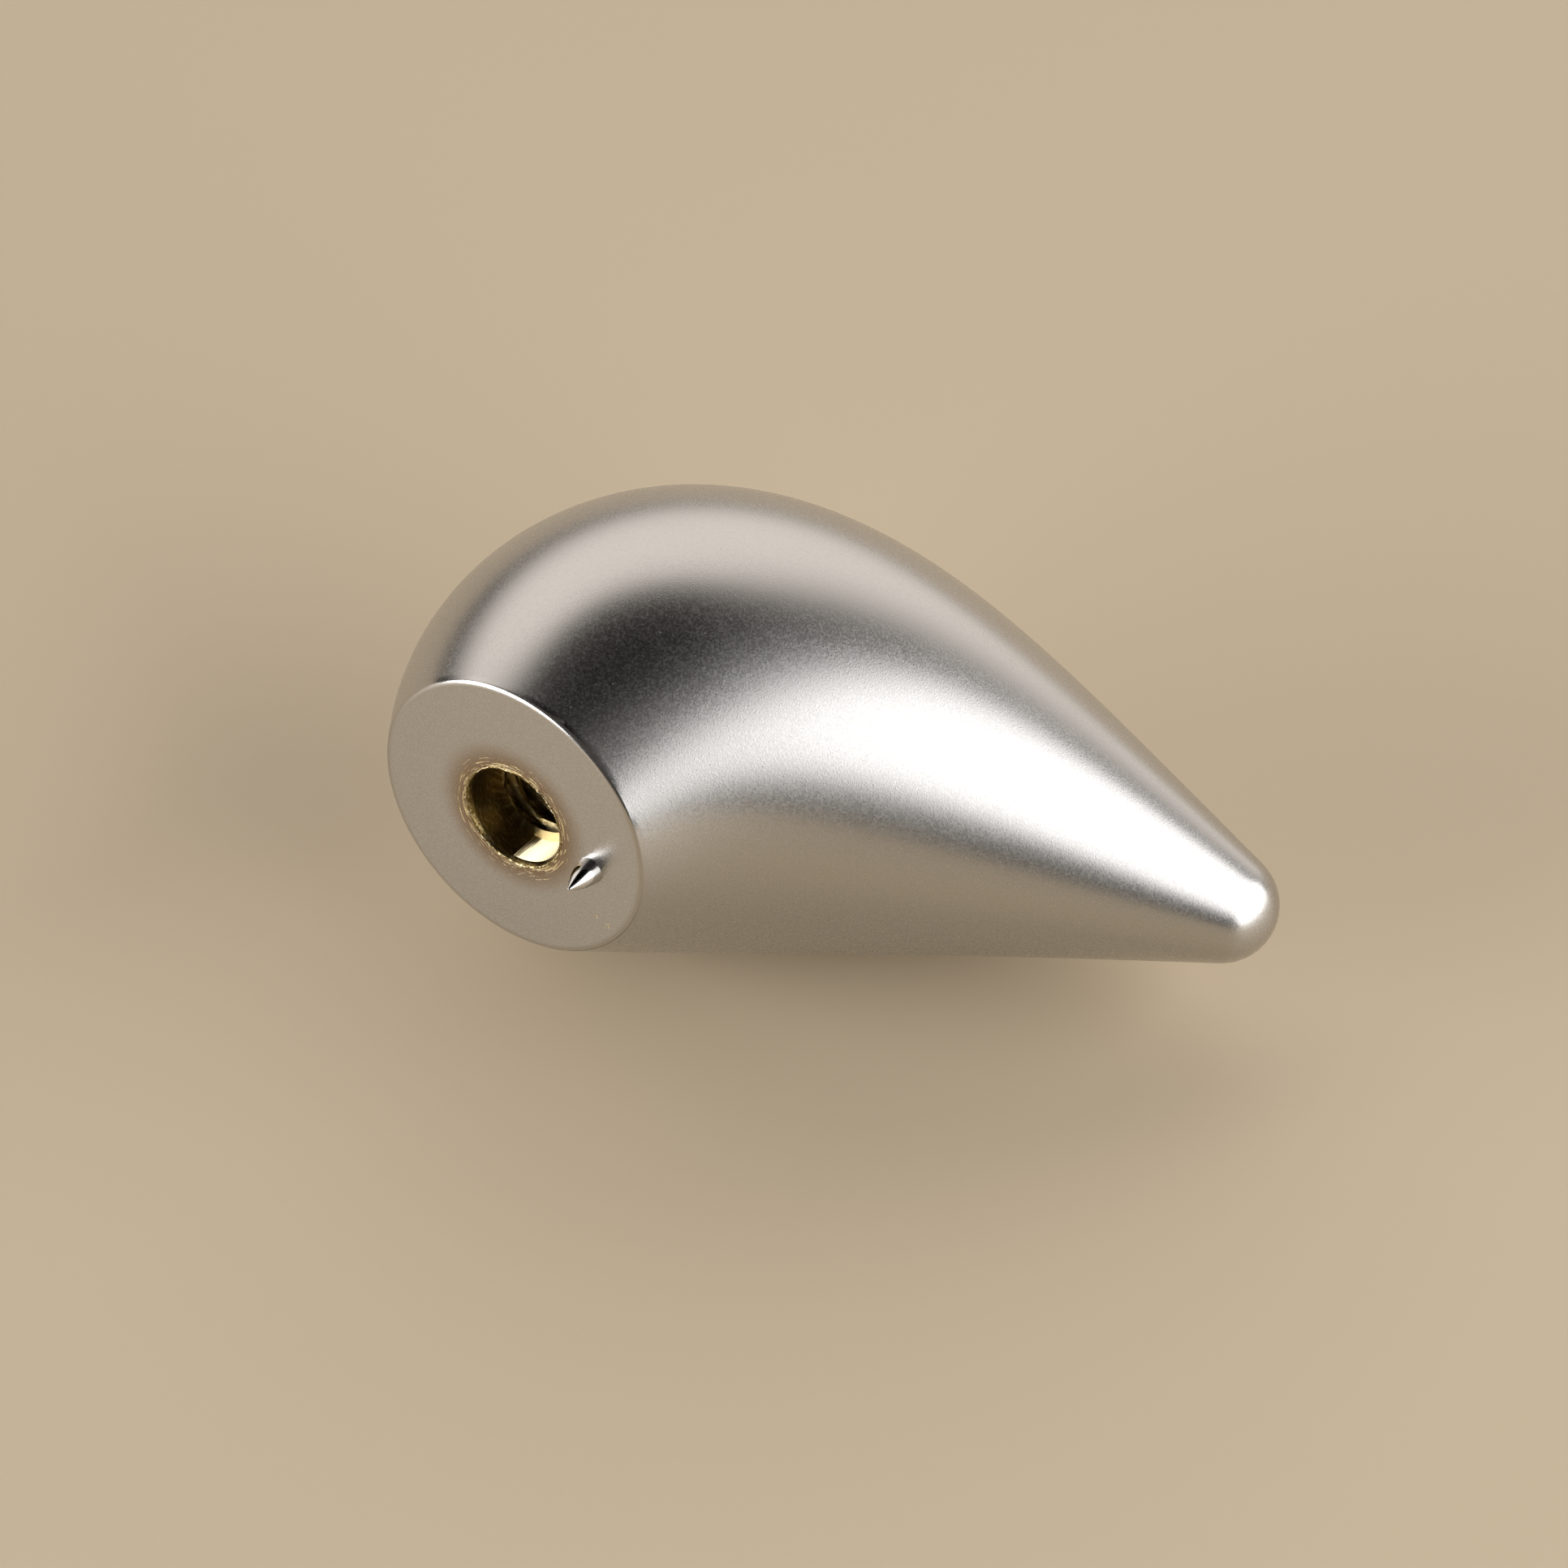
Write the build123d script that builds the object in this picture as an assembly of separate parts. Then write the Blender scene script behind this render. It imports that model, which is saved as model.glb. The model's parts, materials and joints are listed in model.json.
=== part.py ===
"""Cabinet knob: a bent drop of plated brass on a flat round seat, with a screw hole and a locating spike.

Frame: the origin is the centre of the seat, which lies flat on the door. -Y points into the door and +Y out
into the room, +X runs along the tail, and Z = 0 is the plane that the knob is a mirror image across.
Sizes are in millimetres and angles in degrees.
"""

import os
from math import acos, atan2, degrees, hypot, radians, sqrt, tan

from build123d import *

# Seat: the flat round face that is drawn against the door
SEAT_DIAMETER = 12.0
SEAT_EDGE_RADIUS = 0.3

# Body: the skin around a ball that travels out from the seat and along the tail while its radius changes.
# The ball follows one cubic curve with four control balls, called neck, belly, shoulder and tip.
# Reach is along the tail from the screw's axis, and rise is out from the seat.
NECK_RISE = 4.05
BELLY_CLIMB = 7.05
SHOULDER_REACH = 6.35
SHOULDER_RISE = 12.45
SHOULDER_RADIUS = 8.2
TIP_REACH = 22.2
TIP_RISE = 16.35
TIP_RADIUS = 2.25

# Number of circles that the skin is drawn through
SKIN_CIRCLES = 17

# Screw hole: a plain lead-in, then an M4 thread, drawn at its tapping drill
LEAD_IN_DIAMETER = 4.2
LEAD_IN_DEPTH = 1.6
TAP_DRILL_DIAMETER = 3.3
TAPPED_LENGTH = 8.4
DRILL_POINT_ANGLE = 118.0

# Locating spike: a pin pressed into the seat on the tail's side of the screw hole
SPIKE_REACH = 3.7
SPIKE_DIAMETER = 1.15
SPIKE_HEIGHT = 1.4
SPIKE_TIP_RADIUS = 0.1
SPIKE_SHANK_LENGTH = 2.6
SPIKE_HOLE_RELIEF = 0.3


def ball_curve():
    """Cubic curve of balls, as points (reach, rise, radius).

    The neck ball passes through the seat's circle, and the curve leaves it straight out from the seat at the
    slope that makes the skin start exactly on that circle.
    """
    neck_radius = hypot(SEAT_DIAMETER / 2, NECK_RISE)
    belly_radius = neck_radius + BELLY_CLIMB * NECK_RISE / neck_radius
    return Bezier(
        (0, NECK_RISE, neck_radius),
        (0, NECK_RISE + BELLY_CLIMB, belly_radius),
        (SHOULDER_REACH, SHOULDER_RISE, SHOULDER_RADIUS),
        (TIP_REACH, TIP_RISE, TIP_RADIUS),
    )


def skin_circle(balls, position):
    """Plane and radius of the circle where the ball at a position from 0 to 1 touches the skin.

    With s the radius gained per length of the centre's path, the circle is square to the path, r * s behind
    the ball's centre, and has the radius r * sqrt(1 - s * s).
    """
    ball = balls @ position
    heading = balls % position
    path = Vector(heading.X, heading.Y)
    slope = heading.Z / path.length
    direction = path.normalized()
    centre = Vector(ball.X, ball.Y) - direction * (ball.Z * slope)
    across = Vector(-direction.Y, direction.X)
    return Plane(centre, x_dir=across, z_dir=direction), ball.Z * sqrt(1 - slope * slope)


def bent_drop():
    """Solid body before drilling: the skin from the seat to the tip ball, and the rest of the tip ball."""
    balls = ball_curve()
    circles = [skin_circle(balls, i / (SKIN_CIRCLES - 1)) for i in range(SKIN_CIRCLES)]
    drop = loft([plane * Circle(radius) for plane, radius in circles])
    tip_plane = circles[-1][0]
    tip_ball = Pos(TIP_REACH, TIP_RISE) * Sphere(TIP_RADIUS)
    drop += split(tip_ball, bisect_by=tip_plane, keep=Keep.TOP)
    seat = drop.faces().sort_by(Axis.Y)[0]
    return fillet(seat.edges(), SEAT_EDGE_RADIUS)


def turned(*profile):
    """Solid of revolution about the Y axis of a closed profile of (radius, rise) points."""
    return revolve(make_face(Polyline(*profile, close=True)), Axis.Y)


def screw_hole():
    """Cutter for the lead-in, the tapped hole and the drill's point."""
    lead_in = LEAD_IN_DIAMETER / 2
    drill = TAP_DRILL_DIAMETER / 2
    bottom = LEAD_IN_DEPTH + TAPPED_LENGTH
    point = drill / tan(radians(DRILL_POINT_ANGLE / 2))
    return turned(
        (0, 0),
        (lead_in, 0),
        (lead_in, LEAD_IN_DEPTH),
        (drill, LEAD_IN_DEPTH),
        (drill, bottom),
        (0, bottom + point),
    )


def spike_hole():
    """Cutter for the blind hole that the spike's shank is pressed into."""
    radius = SPIKE_DIAMETER / 2
    depth = SPIKE_SHANK_LENGTH + SPIKE_HOLE_RELIEF
    return Pos(SPIKE_REACH) * turned((0, 0), (radius, 0), (radius, depth), (0, depth))


def spike():
    """Shank inside the seat, and outside it a cone whose flank runs tangent into a round tip."""
    radius = SPIKE_DIAMETER / 2
    ball_rise = SPIKE_TIP_RADIUS - SPIKE_HEIGHT
    flank = acos(SPIKE_TIP_RADIUS / hypot(radius, ball_rise)) - atan2(-ball_rise, radius)
    round_tip = CenterArc((0, ball_rise), SPIKE_TIP_RADIUS, -90, 90 - degrees(flank))
    sides = Polyline(
        round_tip @ 1,
        (radius, 0),
        (radius, SPIKE_SHANK_LENGTH),
        (0, SPIKE_SHANK_LENGTH),
        (0, -SPIKE_HEIGHT),
    )
    return Pos(SPIKE_REACH) * revolve(make_face(round_tip + sides), Axis.Y)


os.makedirs("parts", exist_ok=True)
export_step(bent_drop() - screw_hole() - spike_hole(), "parts/knob_body.step")
export_step(spike(), "parts/locating_spike.step")
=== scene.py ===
"""Cabinet knob in satin chrome: a bent drop with a flat round seat, a tapped hole and a steel spike.

The knob keeps its own frame, in metres: the origin is the centre of the seat, -Y points into the door and
+Y out into the room, +X runs along the tail, and Z = 0 is the mirror plane. It lies on its side.
"""

import json
from functools import partial
from math import asin, atan2, cos, hypot, pi, radians, sin, sqrt, tan

import bpy
import numpy as np
from bpy.props import FloatProperty, FloatVectorProperty, PointerProperty
from mathutils import Matrix, Vector


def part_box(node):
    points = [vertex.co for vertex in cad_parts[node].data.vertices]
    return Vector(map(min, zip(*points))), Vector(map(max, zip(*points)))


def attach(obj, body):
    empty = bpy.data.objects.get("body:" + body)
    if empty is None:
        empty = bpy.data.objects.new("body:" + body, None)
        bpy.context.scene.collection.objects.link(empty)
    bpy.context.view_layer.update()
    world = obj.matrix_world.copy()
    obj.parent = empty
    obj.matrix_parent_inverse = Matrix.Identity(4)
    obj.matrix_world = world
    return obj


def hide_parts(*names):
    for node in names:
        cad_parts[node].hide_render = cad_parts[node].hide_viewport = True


bl_info = {
    "name": "Cabinet knob",
    "version": (1, 0, 0),
    "blender": (4, 5, 0),
    "location": "View3D > Sidebar > Knob",
    "description": "Makes a satin chrome cabinet knob with its screw hole, its spike and a small studio",
    "category": "Add Mesh",
}

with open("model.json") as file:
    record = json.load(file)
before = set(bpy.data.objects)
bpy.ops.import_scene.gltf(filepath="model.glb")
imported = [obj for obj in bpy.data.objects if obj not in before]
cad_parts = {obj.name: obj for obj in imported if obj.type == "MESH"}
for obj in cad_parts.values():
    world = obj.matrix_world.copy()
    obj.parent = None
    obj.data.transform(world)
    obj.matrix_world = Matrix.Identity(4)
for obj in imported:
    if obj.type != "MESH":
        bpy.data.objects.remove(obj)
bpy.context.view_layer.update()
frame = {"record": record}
MM = 0.001

# Places and sizes that come from the frame
TAIL_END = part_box("knob_body")[1][0]
SPIKE_LOW, SPIKE_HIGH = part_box("locating_spike")
SPIKE_REACH = (SPIKE_LOW[0] + SPIKE_HIGH[0]) / 2
SPIKE_RADIUS = (SPIKE_HIGH[0] - SPIKE_LOW[0]) / 2
SCREW_HOLE = next(mount for mount in frame["record"]["mounts"] if mount["name"] == "screw_hole")
THREAD_TOP = SCREW_HOLE["pos_m"][1]
THREAD_BOTTOM = THREAD_TOP + SCREW_HOLE["dims"]["length_mm"] * MM
THREAD_CREST = SCREW_HOLE["dims"]["r_mm"] * MM

# Points around a ring of the body and of the spike
BODY_COLUMNS = 240
SPIKE_COLUMNS = 96

# Rings along each stretch of the body, and in one turn of its thread
DRILL_RINGS = 6
RINGS_PER_TURN = 10
LEAD_IN_RINGS = 14
BURR_RINGS = 9
SEAT_RINGS = 35
RIM_RINGS = 9
SKIN_RINGS = 151
TIP_RINGS = 13

# Rings along each stretch of the spike
SPIKE_TIP_RINGS = 9
SPIKE_FLANK_RINGS = 24
SPIKE_SHANK_RINGS = 5

# Faces that meet at more than this angle keep a sharp edge between them
SHARP_ANGLE = radians(38)

# Bare specks on the seat and nicks in its rim: x, z and radius in millimetres
SPECKS = (
    (4.49, -2.06, 0.3),
    (5.04, -2.16, 0.35),
    (4.67, -3.3, 0.22),
    (3.21, -2.27, 0.15),
    (-0.25, 5.88, 0.24),
    (0.54, 5.92, 0.26),
)

# Side of the lead-in that takes the light, with a painted highlight and a rougher, sloped scrape, as a
# direction across the hole
SCRAPED_AND_LIT_SIDE = (0.77, 0, -0.64)


def linear(code):
    """Linear red, green and blue of an sRGB hex colour, by the sRGB curve."""
    encoded = np.array([int(code[i : i + 2], 16) for i in (0, 2, 4)]) / 255
    low = encoded / 12.92
    high = ((encoded + 0.055) / 1.055) ** 2.4
    return tuple(np.where(encoded <= 0.04045, low, high).tolist())


def length(name, description, millimetres):
    """Property for a length, written in millimetres and kept in metres."""
    return FloatProperty(
        name=name, description=description, default=millimetres * MM, unit="LENGTH", precision=5
    )


def angle(name, description, degrees):
    """Property for an angle, written in degrees and kept in radians."""
    return FloatProperty(name=name, description=description, default=radians(degrees), subtype="ANGLE")


def colour(name, description, code):
    """Property for a colour, written as an sRGB hex code and kept linear."""
    return FloatVectorProperty(
        name=name, description=description, default=linear(code), size=3, min=0, max=1, subtype="COLOR"
    )


def brightness(name, description, value):
    """Property for the brightness of a light: 1 would look white to the camera."""
    return FloatProperty(name=name, description=description, default=value, min=0)


class KnobSizes(bpy.types.PropertyGroup):
    """Sizes of the knob's body, screw hole and spike."""

    seat_diameter: length("Seat diameter", "Width of the flat face that lies on the door", 12.0)
    rim_radius: length("Rim radius", "Rounding of the edge around the seat", 0.3)
    neck_rise: length("Neck rise", "Height of the neck ball's centre above the seat", 4.05)
    belly_climb: length("Belly climb", "Height of the belly ball above the neck ball", 7.05)
    shoulder_reach: length("Shoulder reach", "Shoulder ball's distance along the tail", 6.35)
    shoulder_rise: length("Shoulder rise", "Shoulder ball's height above the seat", 12.45)
    shoulder_radius: length("Shoulder radius", "Radius of the shoulder ball", 8.2)
    tip_rise: length("Tip rise", "Height of the tip ball's centre above the seat", 16.35)
    tip_radius: length("Tip radius", "Radius of the rounded end of the tail", 2.25)
    lead_in_diameter: length("Lead-in diameter", "Width of the plain hole before the thread", 4.2)
    mouth_width: length("Mouth width", "Width of the broken edge between the lead-in and the seat", 0.08)
    mouth_depth: length("Mouth depth", "Depth of the broken edge between the lead-in and the seat", 0.17)
    burr_width: length("Burr width", "Width of the rough ridge around the mouth", 0.11)
    burr_height: length("Burr height", "Height of the rough ridge around the mouth", 0.08)
    thread_pitch: length("Thread pitch", "Distance from one thread crest to the next", 0.7)
    thread_depth: length("Thread depth", "Depth of the thread's groove from its crest", 0.35)
    drill_point: angle("Drill point", "Angle of the cone at the bottom of the screw hole", 118)
    spike_tip_radius: length("Spike tip radius", "Radius of the ball on the spike's end", 0.1)
    spike_bulge: length("Spike bulge", "How far the spike's flank swells out from a straight cone", 0.085)
    spike_hole_relief: length("Spike hole relief", "Free depth under the spike's shank", 0.3)


class KnobColours(bpy.types.PropertyGroup):
    """Colours of the knob's metals and of the studio."""

    chrome: colour("Satin chrome", "Plated skin of the knob", "C1BFBD")
    brass: colour("Bare brass", "Metal under the plating, where it is clean", "F3E4BC")
    # Dark brass inside the hole is painted shade of the recess, not a tarnish that the metal has
    painted_hole_shade: colour("Tarnish", "Brass inside the hole, dark with old cutting oil", "7A683F")
    stain: colour("Stain", "Thin plating around the screw hole", "8A6A3C")
    steel: colour("Polished steel", "The spike", "D2D1CF")
    floor: colour("Floor", "Pale paper that the knob lies on", "D2C0A4")
    wall: colour("Wall light", "Light of the wall behind the knob", "FFF7EF")


class KnobStudio(bpy.types.PropertyGroup):
    """Camera, floor and lights. Azimuths of lights run from the camera's side towards its right."""

    camera_azimuth: angle("Camera azimuth", "Turn of the camera from the seat towards the tail", 24.24)
    camera_elevation: angle("Camera elevation", "Height of the camera over the knob's level", 46.61)
    camera_roll: angle("Camera roll", "Lean of the camera about its own line of sight", 15.99)
    camera_distance: length("Camera distance", "Distance from the camera to the point it looks at", 350.0)
    camera_lens: FloatProperty(
        name="Camera lens",
        description="Focal length in millimetres on a 36 mm wide sensor",
        default=211.74,
    )
    camera_target: FloatVectorProperty(
        name="Camera target",
        description="Point in the middle of the picture",
        default=(7.53 * MM, 6.51 * MM, 2.89 * MM),
        size=3,
        subtype="XYZ",
        unit="LENGTH",
        precision=5,
    )
    floor_width: length("Floor width", "Side of the square floor", 4000.0)
    softbox_distance: length("Softbox distance", "Distance from the knob to each softbox", 500.0)
    key_azimuth: angle("Key azimuth", "Place of the key softbox, in front on the right", 71)
    key_elevation: angle("Key elevation", "Height of the key softbox over the floor", 18)
    key_width: length("Key width", "Width of the key softbox", 860.0)
    key_height: length("Key height", "Height of the key softbox", 660.0)
    key_radiance: brightness("Key brightness", "Brightness of the key softbox", 2.8)
    side_azimuth: angle("Side azimuth", "Place of the low softbox on the left", -72)
    side_elevation: angle("Side elevation", "Height of the low softbox over the floor", 12)
    side_width: length("Side width", "Width of the low softbox", 520.0)
    side_height: length("Side height", "Height of the low softbox", 330.0)
    side_radiance: brightness("Side brightness", "Brightness of the low softbox", 5.0)
    wall_azimuth: angle("Wall azimuth", "Middle of the pale wall behind the knob", 197)
    wall_radiance: brightness("Wall brightness", "Brightness of the pale wall", 1.25)
    room_radiance: brightness("Room brightness", "Brightness of the dim room behind the camera", 0.09)
    ceiling_radiance: brightness("Ceiling brightness", "Brightness of the dark ceiling", 0.0)


# Mesh and node helpers


def add_node(tree, kind, inputs=None, **settings):
    """Adds a node, sets its properties, and gives each named or numbered input a value or a link."""
    made = tree.nodes.new(kind)
    for name, value in settings.items():
        setattr(made, name, value)
    for socket, value in (inputs or {}).items():
        if isinstance(value, bpy.types.NodeSocket):
            tree.links.new(value, made.inputs[socket])
        else:
            made.inputs[socket].default_value = value
    return made


def new_material(name):
    """Material with no nodes yet, and add_node tied to its node tree."""
    material = bpy.data.materials.new(name)
    material.use_nodes = True
    material.node_tree.nodes.clear()
    return material, partial(add_node, material.node_tree)


def steps(start, end, count):
    """Evenly spaced values from start, which is left out, to end."""
    return np.linspace(start, end, count + 1)[1:]


def loop_faces(loops):
    """Four point numbers for each cell between closed loops, which are rows of point numbers."""
    after = np.roll(loops, -1, axis=1)
    return np.stack([loops[:-1], after[:-1], after[1:], loops[1:]], axis=-1)


def fan_faces(loop, pole):
    """Three point numbers for each cell between a closed loop and the pole that it runs into."""
    return np.stack([loop, np.roll(loop, -1), np.full_like(loop, pole)], axis=-1)


def make_piece(name, points, faces, materials, face_materials):
    """Object at the origin with smooth faces, sharp only where two faces meet at a steep angle."""
    mesh = bpy.data.meshes.new(name)
    mesh.from_pydata(points, [], faces)
    for material in materials:
        mesh.materials.append(material)
    mesh.polygons.foreach_set("material_index", np.asarray(face_materials, dtype=np.int32))
    mesh.polygons.foreach_set("use_smooth", np.ones(len(mesh.polygons), dtype=bool))
    if mesh.validate():
        raise RuntimeError(f"{name}: the mesh has faces that Blender had to remove")
    mesh.set_sharp_from_angle(angle=SHARP_ANGLE)
    piece = bpy.data.objects.new(name, mesh)
    bpy.context.scene.collection.objects.link(piece)
    return piece


# Patterns around the screw's axis


def axis_coordinates(add):
    """Place of a point, its rise, its distance from the screw's axis and its bearing about that axis."""
    place = add("ShaderNodeTexCoord").outputs["Object"]
    x, rise, z = add("ShaderNodeSeparateXYZ", {"Vector": place}).outputs
    flat = add("ShaderNodeCombineXYZ", {"X": x, "Z": z}).outputs["Vector"]
    distance = add("ShaderNodeVectorMath", {0: flat}, operation="LENGTH").outputs["Value"]
    bearing = add("ShaderNodeVectorMath", {0: flat}, operation="NORMALIZE").outputs["Vector"]
    return place, rise, distance, bearing


def noise_around(add, bearing, per_radian, measure, pitch, detail):
    """Noise about the screw's axis, read at bearing * per_radian + (0, measure / pitch, 0).

    It changes about per_radian times in a radian around the axis, and about once in a pitch of the measure.
    """
    count = add("ShaderNodeMath", {0: measure, 1: 1 / pitch}, operation="MULTIPLY").outputs[0]
    offset = add("ShaderNodeCombineXYZ", {"Y": count}).outputs["Vector"]
    turn = {0: bearing, 1: (per_radian, per_radian, per_radian), 2: offset}
    place = add("ShaderNodeVectorMath", turn, operation="MULTIPLY_ADD").outputs["Vector"]
    return add("ShaderNodeTexNoise", {"Vector": place, "Scale": 1.0, "Detail": detail}).outputs["Fac"]


# Satin chrome


def cut_rings(add, distance, bearing, mouth):
    """Mask of the rings that chips from the drill have cut through the plating around the mouth.

    It is noise, fine across the rings and long around them, over a level that rises outwards.
    """
    pitch = 0.06 * MM
    per_radian = 4
    spread = 1.1 * MM
    level_at_mouth = 0.48
    level_outside = 0.8
    softness = 0.05
    noise = noise_around(add, bearing, per_radian, distance, pitch, detail=3.0)
    level = {"Value": distance, "From Min": mouth, "From Max": mouth + spread}
    level.update({"To Min": level_at_mouth, "To Max": level_outside})
    level = add("ShaderNodeMapRange", level).outputs["Result"]
    over = add("ShaderNodeMath", {0: noise, 1: level}, operation="SUBTRACT").outputs[0]
    return add("ShaderNodeMapRange", {"Value": over, "From Max": softness}).outputs["Result"]


def speck_pits(add, place):
    """Mask of clusters of small pits: noise over a level that it reaches only inside soft circles."""
    pit_width = 0.07 * MM
    lift = 0.35
    level = 0.8
    softness = 0.06
    lifted = 0.0
    for x, z, radius in SPECKS:
        centre = (x * MM, 0, z * MM)
        away = add("ShaderNodeVectorMath", {0: place, 1: centre}, operation="DISTANCE").outputs["Value"]
        circle = {"Value": away, "From Max": radius * MM, "To Min": lift, "To Max": 0.0}
        circle = add("ShaderNodeMapRange", circle).outputs["Result"]
        lifted = add("ShaderNodeMath", {0: lifted, 1: circle}, operation="MAXIMUM").outputs[0]
    noise = {"Vector": place, "Scale": 1 / pit_width, "Detail": 1.0}
    noise = add("ShaderNodeTexNoise", noise).outputs["Fac"]
    total = add("ShaderNodeMath", {0: noise, 1: lifted}, operation="ADD").outputs[0]
    pits = {"Value": total, "From Min": level, "From Max": level + softness}
    return add("ShaderNodeMapRange", pits).outputs["Result"]


def bead_dents(add, place):
    """Hollow and grit of the dents that the beads left, one in each cell of a random pattern.

    The hollow is the squared distance from the cell's point, in bead widths. The grit is the square of the
    cell's random number from 0 to 1, so that a few dents are much rougher than the rest.
    """
    bead_width = 0.06 * MM  # coarser than real, so that the grain shows
    cells = add("ShaderNodeTexVoronoi", {"Vector": place, "Scale": 1 / bead_width})
    away = cells.outputs["Distance"]
    hollow = add("ShaderNodeMath", {0: away, 1: away}, operation="MULTIPLY").outputs[0]
    chance = add("ShaderNodeSeparateXYZ", {"Vector": cells.outputs["Color"]}).outputs["X"]
    grit = add("ShaderNodeMath", {0: chance, 1: chance}, operation="MULTIPLY").outputs[0]
    return hollow, grit


def rubbed_rim(add, rise, distance, sizes):
    """Share of rubbing: 1 low on the rounded rim, and 0 on the seat and on the skin above the rim.

    It fades in over the end of the flat, and out over the upper half of the rim's height.
    """
    start = sizes.seat_diameter / 2 - 0.8 * sizes.rim_radius
    fade = 0.3 * sizes.rim_radius
    low = {"Value": rise, "From Min": sizes.rim_radius / 2, "From Max": sizes.rim_radius}
    low.update({"To Min": 1.0, "To Max": 0.0})
    low = add("ShaderNodeMapRange", low).outputs["Result"]
    outer = {"Value": distance, "From Min": start, "From Max": start + fade}
    outer = add("ShaderNodeMapRange", outer).outputs["Result"]
    return add("ShaderNodeMath", {0: low, 1: outer}, operation="MULTIPLY").outputs[0]


def satin_chrome(colours, sizes):
    """Satin chrome: brass blasted with fine beads, then plated.

    To the eye, a fine even grain that spreads every reflection wide, and a smoother rim. Around the screw
    hole, chips from the drill have cut rings through the plating, so that brass glints there in a brown
    stain, and the seat has a few bare specks.
    """
    seat_start = 0.02 * MM
    seat_end = 0.06 * MM
    ring_depth = 0.012 * MM
    pit_depth = 0.03 * MM
    stain_spread = 1.4 * MM
    stain_strength = 0.75
    haze_width = 6 * MM
    haze_low = 0.23
    haze_high = 0.28
    grit_roughness = 0.08
    rim_polish = 0.12
    bead_depth = 0.0012 * MM
    mouth = sizes.lead_in_diameter / 2 + sizes.mouth_width + sizes.burr_width / 2
    material, add = new_material("satin_chrome")
    place, rise, distance, bearing = axis_coordinates(add)

    # Bare metal: rings on the flat of the seat, and specks
    on_seat = {"Value": rise, "From Min": seat_start, "From Max": seat_end, "To Min": 1.0, "To Max": 0.0}
    on_seat = add("ShaderNodeMapRange", on_seat).outputs["Result"]
    rings = cut_rings(add, distance, bearing, mouth)
    rings = add("ShaderNodeMath", {0: rings, 1: on_seat}, operation="MULTIPLY").outputs[0]
    pits = speck_pits(add, place)
    bare = add("ShaderNodeMath", {0: rings, 1: pits}, operation="MAXIMUM").outputs[0]

    # Colour: chrome, a brown stain around the mouth where the plating is thin, and brass where it is gone
    stain = {"Value": distance, "From Min": mouth, "From Max": mouth + stain_spread}
    stain.update({"To Min": stain_strength, "To Max": 0.0})
    stain = add("ShaderNodeMapRange", stain, interpolation_type="SMOOTHSTEP").outputs["Result"]
    stain = add("ShaderNodeMath", {0: stain, 1: on_seat}, operation="MULTIPLY").outputs[0]
    tint = {0: stain, 6: (*colours.chrome, 1), 7: (*colours.stain, 1)}
    tint = add("ShaderNodeMix", tint, data_type="RGBA").outputs[2]
    tint = {0: bare, 6: tint, 7: (*colours.brass, 1)}
    tint = add("ShaderNodeMix", tint, data_type="RGBA").outputs[2]

    # Roughness: a slow haze, some rougher dents, and a rim that is rubbed smoother
    hollow, grit = bead_dents(add, place)
    rubbed = rubbed_rim(add, rise, distance, sizes)
    haze = {"Vector": place, "Scale": 1 / haze_width, "Detail": 2.0}
    haze = add("ShaderNodeTexNoise", haze).outputs["Fac"]
    haze = {"Value": haze, "To Min": haze_low, "To Max": haze_high}
    haze = add("ShaderNodeMapRange", haze).outputs["Result"]
    roughness = {0: grit, 1: grit_roughness, 2: haze}
    roughness = add("ShaderNodeMath", roughness, operation="MULTIPLY_ADD").outputs[0]
    roughness = {0: rubbed, 1: -rim_polish, 2: roughness}
    roughness = add("ShaderNodeMath", roughness, operation="MULTIPLY_ADD").outputs[0]

    # Relief: the dents, gone from the rubbed rim, and the depth of the rings and pits
    grain = {"Value": rubbed, "To Min": bead_depth, "To Max": 0.0}
    grain = add("ShaderNodeMapRange", grain).outputs["Result"]
    height = add("ShaderNodeMath", {0: hollow, 1: grain}, operation="MULTIPLY").outputs[0]
    for mark, depth in ((rings, ring_depth), (pits, pit_depth)):
        sunk = {0: mark, 1: -depth, 2: height}
        height = add("ShaderNodeMath", sunk, operation="MULTIPLY_ADD").outputs[0]
    bump = add("ShaderNodeBump", {"Distance": 1.0, "Height": height}).outputs["Normal"]
    metal = {"Base Color": tint, "Metallic": 1.0, "Roughness": roughness, "Normal": bump}
    shader = add("ShaderNodeBsdfPrincipled", metal).outputs["BSDF"]
    add("ShaderNodeOutputMaterial", {"Surface": shader})
    return material


# Bare brass


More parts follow.
